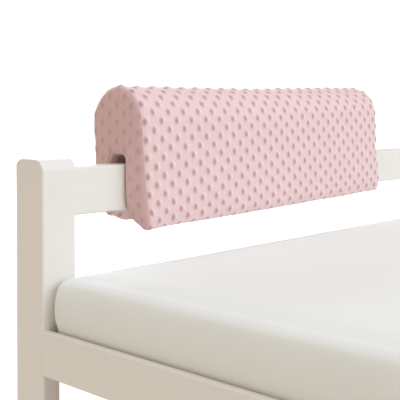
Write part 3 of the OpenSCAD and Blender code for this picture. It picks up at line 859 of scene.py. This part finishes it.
def rounded_box(name, centre, halves, radius, cell, materials):
    """A closed box with rounded edges, all of quads."""
    lines = [rounded_lines(half, radius, cell) for half in halves]
    counts = [len(line) for line in lines]
    index, points, faces = {}, [], []

    def corner(key):
        if key not in index:
            raw = np.array([lines[a][key[a]] for a in range(3)])
            inner = np.clip(raw, [-(h - radius) for h in halves], [h - radius for h in halves])
            away = raw - inner
            index[key] = len(points)
            points.append(inner + radius * away / np.linalg.norm(away) + centre)
        return index[key]

    for axis in range(3):
        first, second = (axis + 1) % 3, (axis + 2) % 3
        for end in (0, counts[axis] - 1):
            for i in range(counts[first] - 1):
                for j in range(counts[second] - 1):
                    quad = []
                    for di, dj in ((0, 0), (1, 0), (1, 1), (0, 1)):
                        key = [0, 0, 0]
                        key[axis], key[first], key[second] = end, i + di, j + dj
                        quad.append(corner(tuple(key)))
                    faces.append(quad if end else quad[::-1])
    return link_mesh(name, points, faces, materials)


def side_freedom(x, y, centre_y, post_x):
    """How freely the long sides can belly: 1 between the posts, 0 beside a post."""
    guard_low, guard_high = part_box("front_guard_post")
    free = 1 - ramp(np.abs(x), post_x - 70 * MM, post_x - 6 * MM)
    near_guard = ramp(x, guard_low[0] - 50 * MM, guard_low[0] - 5 * MM)
    near_guard *= 1 - ramp(x, guard_high[0] + 5 * MM, guard_high[0] + 50 * MM)
    return np.where(y < centre_y, free * (1 - near_guard), free)


def shape_mattress(piece, low, high, settings):
    """Swells the mattress: a crowned top, and sides that belly over the rails between the posts."""
    start = get_points(piece.data)
    centre = (low + high) / 2
    half = (high - low) / 2
    off = start - centre
    top = ramp(off[:, 2], 0.0, half[2] - 6 * MM)
    hold = (off[:, 2] < -half[2] + 6 * MM).astype(float)
    post_x = min(abs(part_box(name)[i][0]) for name in POSTS[:4] for i in (0, 1))
    clear = side_freedom(start[:, 0], start[:, 1], centre[1], post_x)
    rail_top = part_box("back_side_rail")[1][2]
    above = ramp(start[:, 2], rail_top - 4 * MM, rail_top + 16 * MM)
    side = np.abs(off[:, 1]) > half[1] - 8 * MM
    tip = np.abs(off[:, 0]) > half[0] - 8 * MM
    most = settings.crown * top
    most = np.where(side, 1 * MM + (settings.side_swell - 1 * MM) * clear * above, most)
    most = np.where(tip, 0.5 * MM + 3 * MM * above * top, most)
    swell(piece, hold, most, pressure=9.0)
    smooth_out(piece, 1)
    mesh = piece.data
    points, normals = get_points(mesh), get_normals(mesh)
    height = np.clip((points[:, 2] - rail_top) / (high[2] - rail_top), 0.0, 1.0)
    belly = np.sin(math.pi * height)
    along_x, along_y = points[:, 0], points[:, 1]
    clear = side_freedom(along_x, along_y, centre[1], post_x)
    edge_y = ramp(np.abs(along_y - centre[1]), half[1] - 30 * MM, half[1] - 4 * MM)
    edge_x = ramp(np.abs(along_x), half[0] - 30 * MM, half[0] - 4 * MM)
    side_belly = settings.side_swell * BELLY_SHARE * belly * clear * edge_y
    points[:, 1] += np.sign(along_y - centre[1]) * side_belly
    tucked = 1 - ramp(points[:, 2], rail_top - 4 * MM, rail_top + 20 * MM)
    points[:, 0] += np.sign(along_x) * edge_x * (END_BELLY * belly - END_TUCK * tucked)
    points[:, 2] += settings.top_lift * ramp(normals[:, 2], 0.2, 0.8)
    upper = ramp(points[:, 2], low[2] + 25 * MM, low[2] + 60 * MM)
    folds = ripples(points, 260 * MM, 11) * 1.2 * MM + ripples(points, 70 * MM, 12) * 0.35 * MM
    points = points + normals * (folds * upper)[:, None]
    by_post = (np.abs(points[:, 0]) > post_x - 12 * MM)
    reach = half[1] + 0.6 * MM
    side_y = points[:, 1] - centre[1]
    points[:, 1] = np.where(by_post, centre[1] + np.clip(side_y, -reach, reach), points[:, 1])
    set_points(mesh, points)


# ---- zip ----

def box_points(low, high):
    """The eight corners of a box."""
    return [(x, y, z) for x in (low[0], high[0]) for y in (low[1], high[1]) for z in (low[2], high[2])]


BOX_FACES = ((0, 1, 3, 2), (4, 6, 7, 5), (0, 4, 5, 1), (2, 3, 7, 6), (0, 2, 6, 4), (1, 5, 7, 3))


def stub(middle, length, width, height):
    """A rounded stub along Z: its points and faces, eight-sided with pinched ends."""
    points, faces = [], []
    for level, size in ((-0.5, 0.55), (-0.36, 1.0), (0.36, 1.0), (0.5, 0.55)):
        for k in range(8):
            angle = math.radians(45 * k + 22.5)
            points.append((middle[0] + 0.5 * width * size * math.cos(angle),
                           middle[1] + 0.5 * height * size * math.sin(angle),
                           middle[2] + level * length))
    for ring in range(3):
        for k in range(8):
            n = (k + 1) % 8
            faces.append((ring * 8 + k, ring * 8 + n, ring * 8 + 8 + n, ring * 8 + 8 + k))
    faces += [tuple(range(7, -1, -1)), tuple(range(24, 32))]
    return points, faces


def build_zip(size, materials):
    """Two woven tapes, two interlocked rows of coil and a row of stitches along each tape."""
    low, high = size.tape_low, size.tape_high
    points, faces, marks = [], [], []

    def take(more_points, more_faces, mark):
        base = len(points)
        points.extend(more_points)
        faces.extend(tuple(base + i for i in face) for face in more_faces)
        marks.extend([mark] * len(more_faces))

    face = size.tape_face
    middle = (size.teeth_low + size.teeth_high) / 2
    gap = 0.4 * MM
    for z0, z1 in ((low[2], middle - gap), (middle + gap, high[2])):
        take(box_points((low[0], low[1] - 0.3 * MM, z0), (high[0], face, z1)), BOX_FACES, 0)
    pitch = 1.5 * MM
    teeth_height = high[1] - face
    count = int((high[0] - low[0] - 4 * MM) / pitch)
    reach = (size.teeth_high - size.teeth_low) * 0.62
    for i in range(count):
        x = low[0] + 2 * MM + (i + 0.5) * pitch
        side = 1 if i % 2 else -1
        tooth_z = middle + side * ((size.teeth_high - size.teeth_low) - reach) / 2
        take(*stub((x, face + teeth_height / 2 - 0.05 * MM, tooth_z), reach, 1.25 * MM, teeth_height), 1)
    step = 3.4 * MM
    for z in (low[2] + 2.2 * MM, high[2] - 2.2 * MM):
        for i in range(int((high[0] - low[0] - 6 * MM) / step)):
            x = low[0] + 3 * MM + (i + 0.5) * step
            take(box_points((x - 1.1 * MM, face - 0.1 * MM, z - 0.22 * MM),
                            (x + 1.1 * MM, face + 0.28 * MM, z + 0.22 * MM)), BOX_FACES, 2)
    turned = turn_about_y(np.array(points), size.tilt)
    piece = link_mesh("zip_tape_and_coil", turned, faces, materials)
    piece.data.polygons.foreach_set("material_index", marks)
    piece.data.polygons.foreach_set("use_smooth", [mark == 1 for mark in marks])
    return piece


# ---- operators ----

class BED_OT_paint(bpy.types.Operator):
    """Paint the posts and rails"""
    bl_idname = "toddler_bed.paint"
    bl_label = "Paint posts and rails"

    def execute(self, context):
        settings = context.scene.bed_paint
        build_grain_group()
        build_cloud_group()
        dress(POSTS, painted_wood("paint_on_posts", 2, settings))
        dress(RAILS_ALONG, painted_wood("paint_on_long_rails", 0, settings))
        dress(RAILS_ACROSS, painted_wood("paint_on_cross_rails", 1, settings))
        return {"FINISHED"}


class BED_OT_slats(bpy.types.Operator):
    """Finish the bare slats, battens and dowels"""
    bl_idname = "toddler_bed.slats"
    bl_label = "Finish slats"

    def execute(self, context):
        settings = context.scene.bed_paint
        dress(SLATS, bare_pine("pine_slats", 1, settings))
        dress(BATTENS + DOWELS, bare_pine("pine_battens", 0, settings))
        return {"FINISHED"}


class BED_OT_fittings(bpy.types.Operator):
    """Finish the bolts, screws and floor glides"""
    bl_idname = "toddler_bed.fittings"
    bl_label = "Finish fittings"

    def execute(self, context):
        settings = context.scene.bed_paint
        dress(STEEL_FITTINGS, plated_steel("zinc_plate", settings, 0.34))
        dress(("floor_glides",), moulded_plastic("nylon_glide", settings))
        return {"FINISHED"}


class BED_OT_mattress(bpy.types.Operator):
    """Make the mattress"""
    bl_idname = "toddler_bed.mattress"
    bl_label = "Make mattress"

    def execute(self, context):
        settings = context.scene.bed_mattress
        build_weave_group()
        low, high = (np.array(corner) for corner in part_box("mattress_cover"))
        inset = np.array((settings.inset, settings.inset, 0.0))
        centre = (low + high) / 2
        halves = (high - low) / 2 - inset
        piece = rounded_box("cotton_mattress", centre, halves, settings.edge_radius, settings.cell,
                            [woven_cotton("woven_cotton", settings)])
        shape_mattress(piece, low, high, settings)
        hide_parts("mattress_cover", "mattress_core")
        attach(piece, "mattress")
        return {"FINISHED"}


class BED_OT_cushion(bpy.types.Operator):
    """Make the saddle cushion on the guard rail"""
    bl_idname = "toddler_bed.cushion"
    bl_label = "Make cushion"

    def execute(self, context):
        settings = context.scene.bed_cushion
        build_dot_group()
        build_pile_group()
        size = CushionMeasures()
        wrap = dotted_plush("plush_wrap", settings, 1.0, (1.0, 1.0, 1.0))
        # The end panels are the same plush, darkened as painted shade by their tone, with weaker dots
        end_panel = dotted_plush("plush_end_panel", settings, 0.45, (0.83, 0.76, 0.76))
        piece, hold = build_cushion(size, settings, [wrap, end_panel])
        shape_cushion(piece, hold, size, settings)
        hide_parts("cushion_cover", "cushion_core", "cushion_foot_panel", "cushion_head_panel")
        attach(piece, "cushion")
        return {"FINISHED"}


class BED_OT_zip(bpy.types.Operator):
    """Make the zip along the cushion's back"""
    bl_idname = "toddler_bed.zip"
    bl_label = "Make zip"

    def execute(self, context):
        settings = context.scene.bed_cushion
        tape = zip_tape_cloth("zip_tape_weave", settings)
        coil = zip_coil_nylon("zip_coil", settings)
        thread = zip_coil_nylon("zip_thread", settings)
        piece = build_zip(CushionMeasures(), [tape, coil, thread])
        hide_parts("cushion_zip_tape")
        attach(piece, "cushion")
        dress(("zip_slider", "zip_pull"), plated_steel("nickel_plate", context.scene.bed_paint, 0.26))
        return {"FINISHED"}


def area_light(name, place, target, size, power, colour):
    """A rectangular soft light aimed at a point."""
    light = bpy.data.lights.new(name, "AREA")
    light.shape = "RECTANGLE"
    light.size, light.size_y = size
    light.energy = power
    light.color = colour
    lamp = bpy.data.objects.new(name, light)
    lamp.location = place
    aim = Vector(target) - Vector(place)
    lamp.rotation_euler = aim.to_track_quat("-Z", "Y").to_euler()
    lamp.visible_camera = False
    bpy.context.scene.collection.objects.link(lamp)
    return lamp


class BED_OT_stage(bpy.types.Operator):
    """Set the floor, lights and camera"""
    bl_idname = "toddler_bed.stage"
    bl_label = "Set stage"

    def execute(self, context):
        scene = context.scene
        settings = scene.bed_stage
        floor = link_mesh("studio_floor", [(-14, -14, 0), (14, -14, 0), (14, 14, 0), (-14, 14, 0)],
                          [(0, 1, 2, 3)], [stage_floor("pale_floor", settings)])
        world = bpy.data.worlds.new("studio")
        world.use_nodes = True
        tree = world.node_tree
        tree.nodes.clear()
        seen = add(tree, "LightPath").outputs["Is Camera Ray"]
        around = add(tree, "Background", {"Color": (*settings.ambient, 1.0),
                                                    "Strength": settings.ambient_strength})
        backdrop = add(tree, "Background", {"Color": (1.0, 1.0, 1.0, 1.0), "Strength": 1.1})
        mixed = add(tree, "MixShader", {0: seen, 1: around.outputs[0], 2: backdrop.outputs[0]})
        output = tree.nodes.new("ShaderNodeOutputWorld")
        tree.links.new(mixed.outputs[0], output.inputs["Surface"])
        scene.world = world
        lights = [area_light(name + "_light", place, (0, 0, aim), size,
                             getattr(settings, name + "_power"), getattr(settings, name))
                  for name, place, aim, size in LIGHTS]
        camera_data = bpy.data.cameras.new("studio_camera")
        camera_data.lens = settings.focal_length
        camera_data.sensor_width = 36.0
        camera_data.shift_y = settings.view_shift
        camera_data.clip_end = 100.0
        camera = bpy.data.objects.new("studio_camera", camera_data)
        scene.collection.objects.link(camera)
        camera.location = CAMERA_PLACE
        right, up = Vector(CAMERA_RIGHT), Vector(CAMERA_UP)
        back = right.cross(up).normalized()
        up = back.cross(right).normalized()
        camera.rotation_euler = Matrix((right.normalized(), up, back)).transposed().to_euler()
        scene.camera = camera
        scene.view_settings.view_transform = "Standard"
        return {"FINISHED"}


class BED_PT_panel(bpy.types.Panel):
    """Sizes, finishes and stage of the toddler bed"""
    bl_label = "Toddler bed"
    bl_space_type = "VIEW_3D"
    bl_region_type = "UI"
    bl_category = "Bed"

    def draw(self, context):
        for title, settings, operators in (
                ("Frame", context.scene.bed_paint, ("paint", "slats", "fittings")),
                ("Mattress", context.scene.bed_mattress, ("mattress",)),
                ("Cushion", context.scene.bed_cushion, ("cushion", "zip")),
                ("Stage", context.scene.bed_stage, ("stage",))):
            box = self.layout.box()
            box.label(text=title)
            for key in settings.__annotations__:
                box.prop(settings, key)
            for name in operators:
                box.operator("toddler_bed." + name)


CLASSES = (PaintSettings, MattressSettings, CushionSettings, StageSettings,
           BED_OT_paint, BED_OT_slats, BED_OT_fittings, BED_OT_mattress, BED_OT_cushion, BED_OT_zip,
           BED_OT_stage, BED_PT_panel)
GROUPS = (("bed_paint", PaintSettings), ("bed_mattress", MattressSettings),
          ("bed_cushion", CushionSettings), ("bed_stage", StageSettings))


def register():
    for cls in CLASSES:
        bpy.utils.register_class(cls)
    for key, cls in GROUPS:
        setattr(bpy.types.Scene, key, PointerProperty(type=cls))


def unregister():
    for key, _ in GROUPS:
        delattr(bpy.types.Scene, key)
    for cls in reversed(CLASSES):
        bpy.utils.unregister_class(cls)


def main():
    register()
    for step in (bpy.ops.toddler_bed.paint, bpy.ops.toddler_bed.slats, bpy.ops.toddler_bed.fittings,
                 bpy.ops.toddler_bed.mattress, bpy.ops.toddler_bed.cushion, bpy.ops.toddler_bed.zip,
                 bpy.ops.toddler_bed.stage):
        step()


if __name__ == "__main__":
    main()
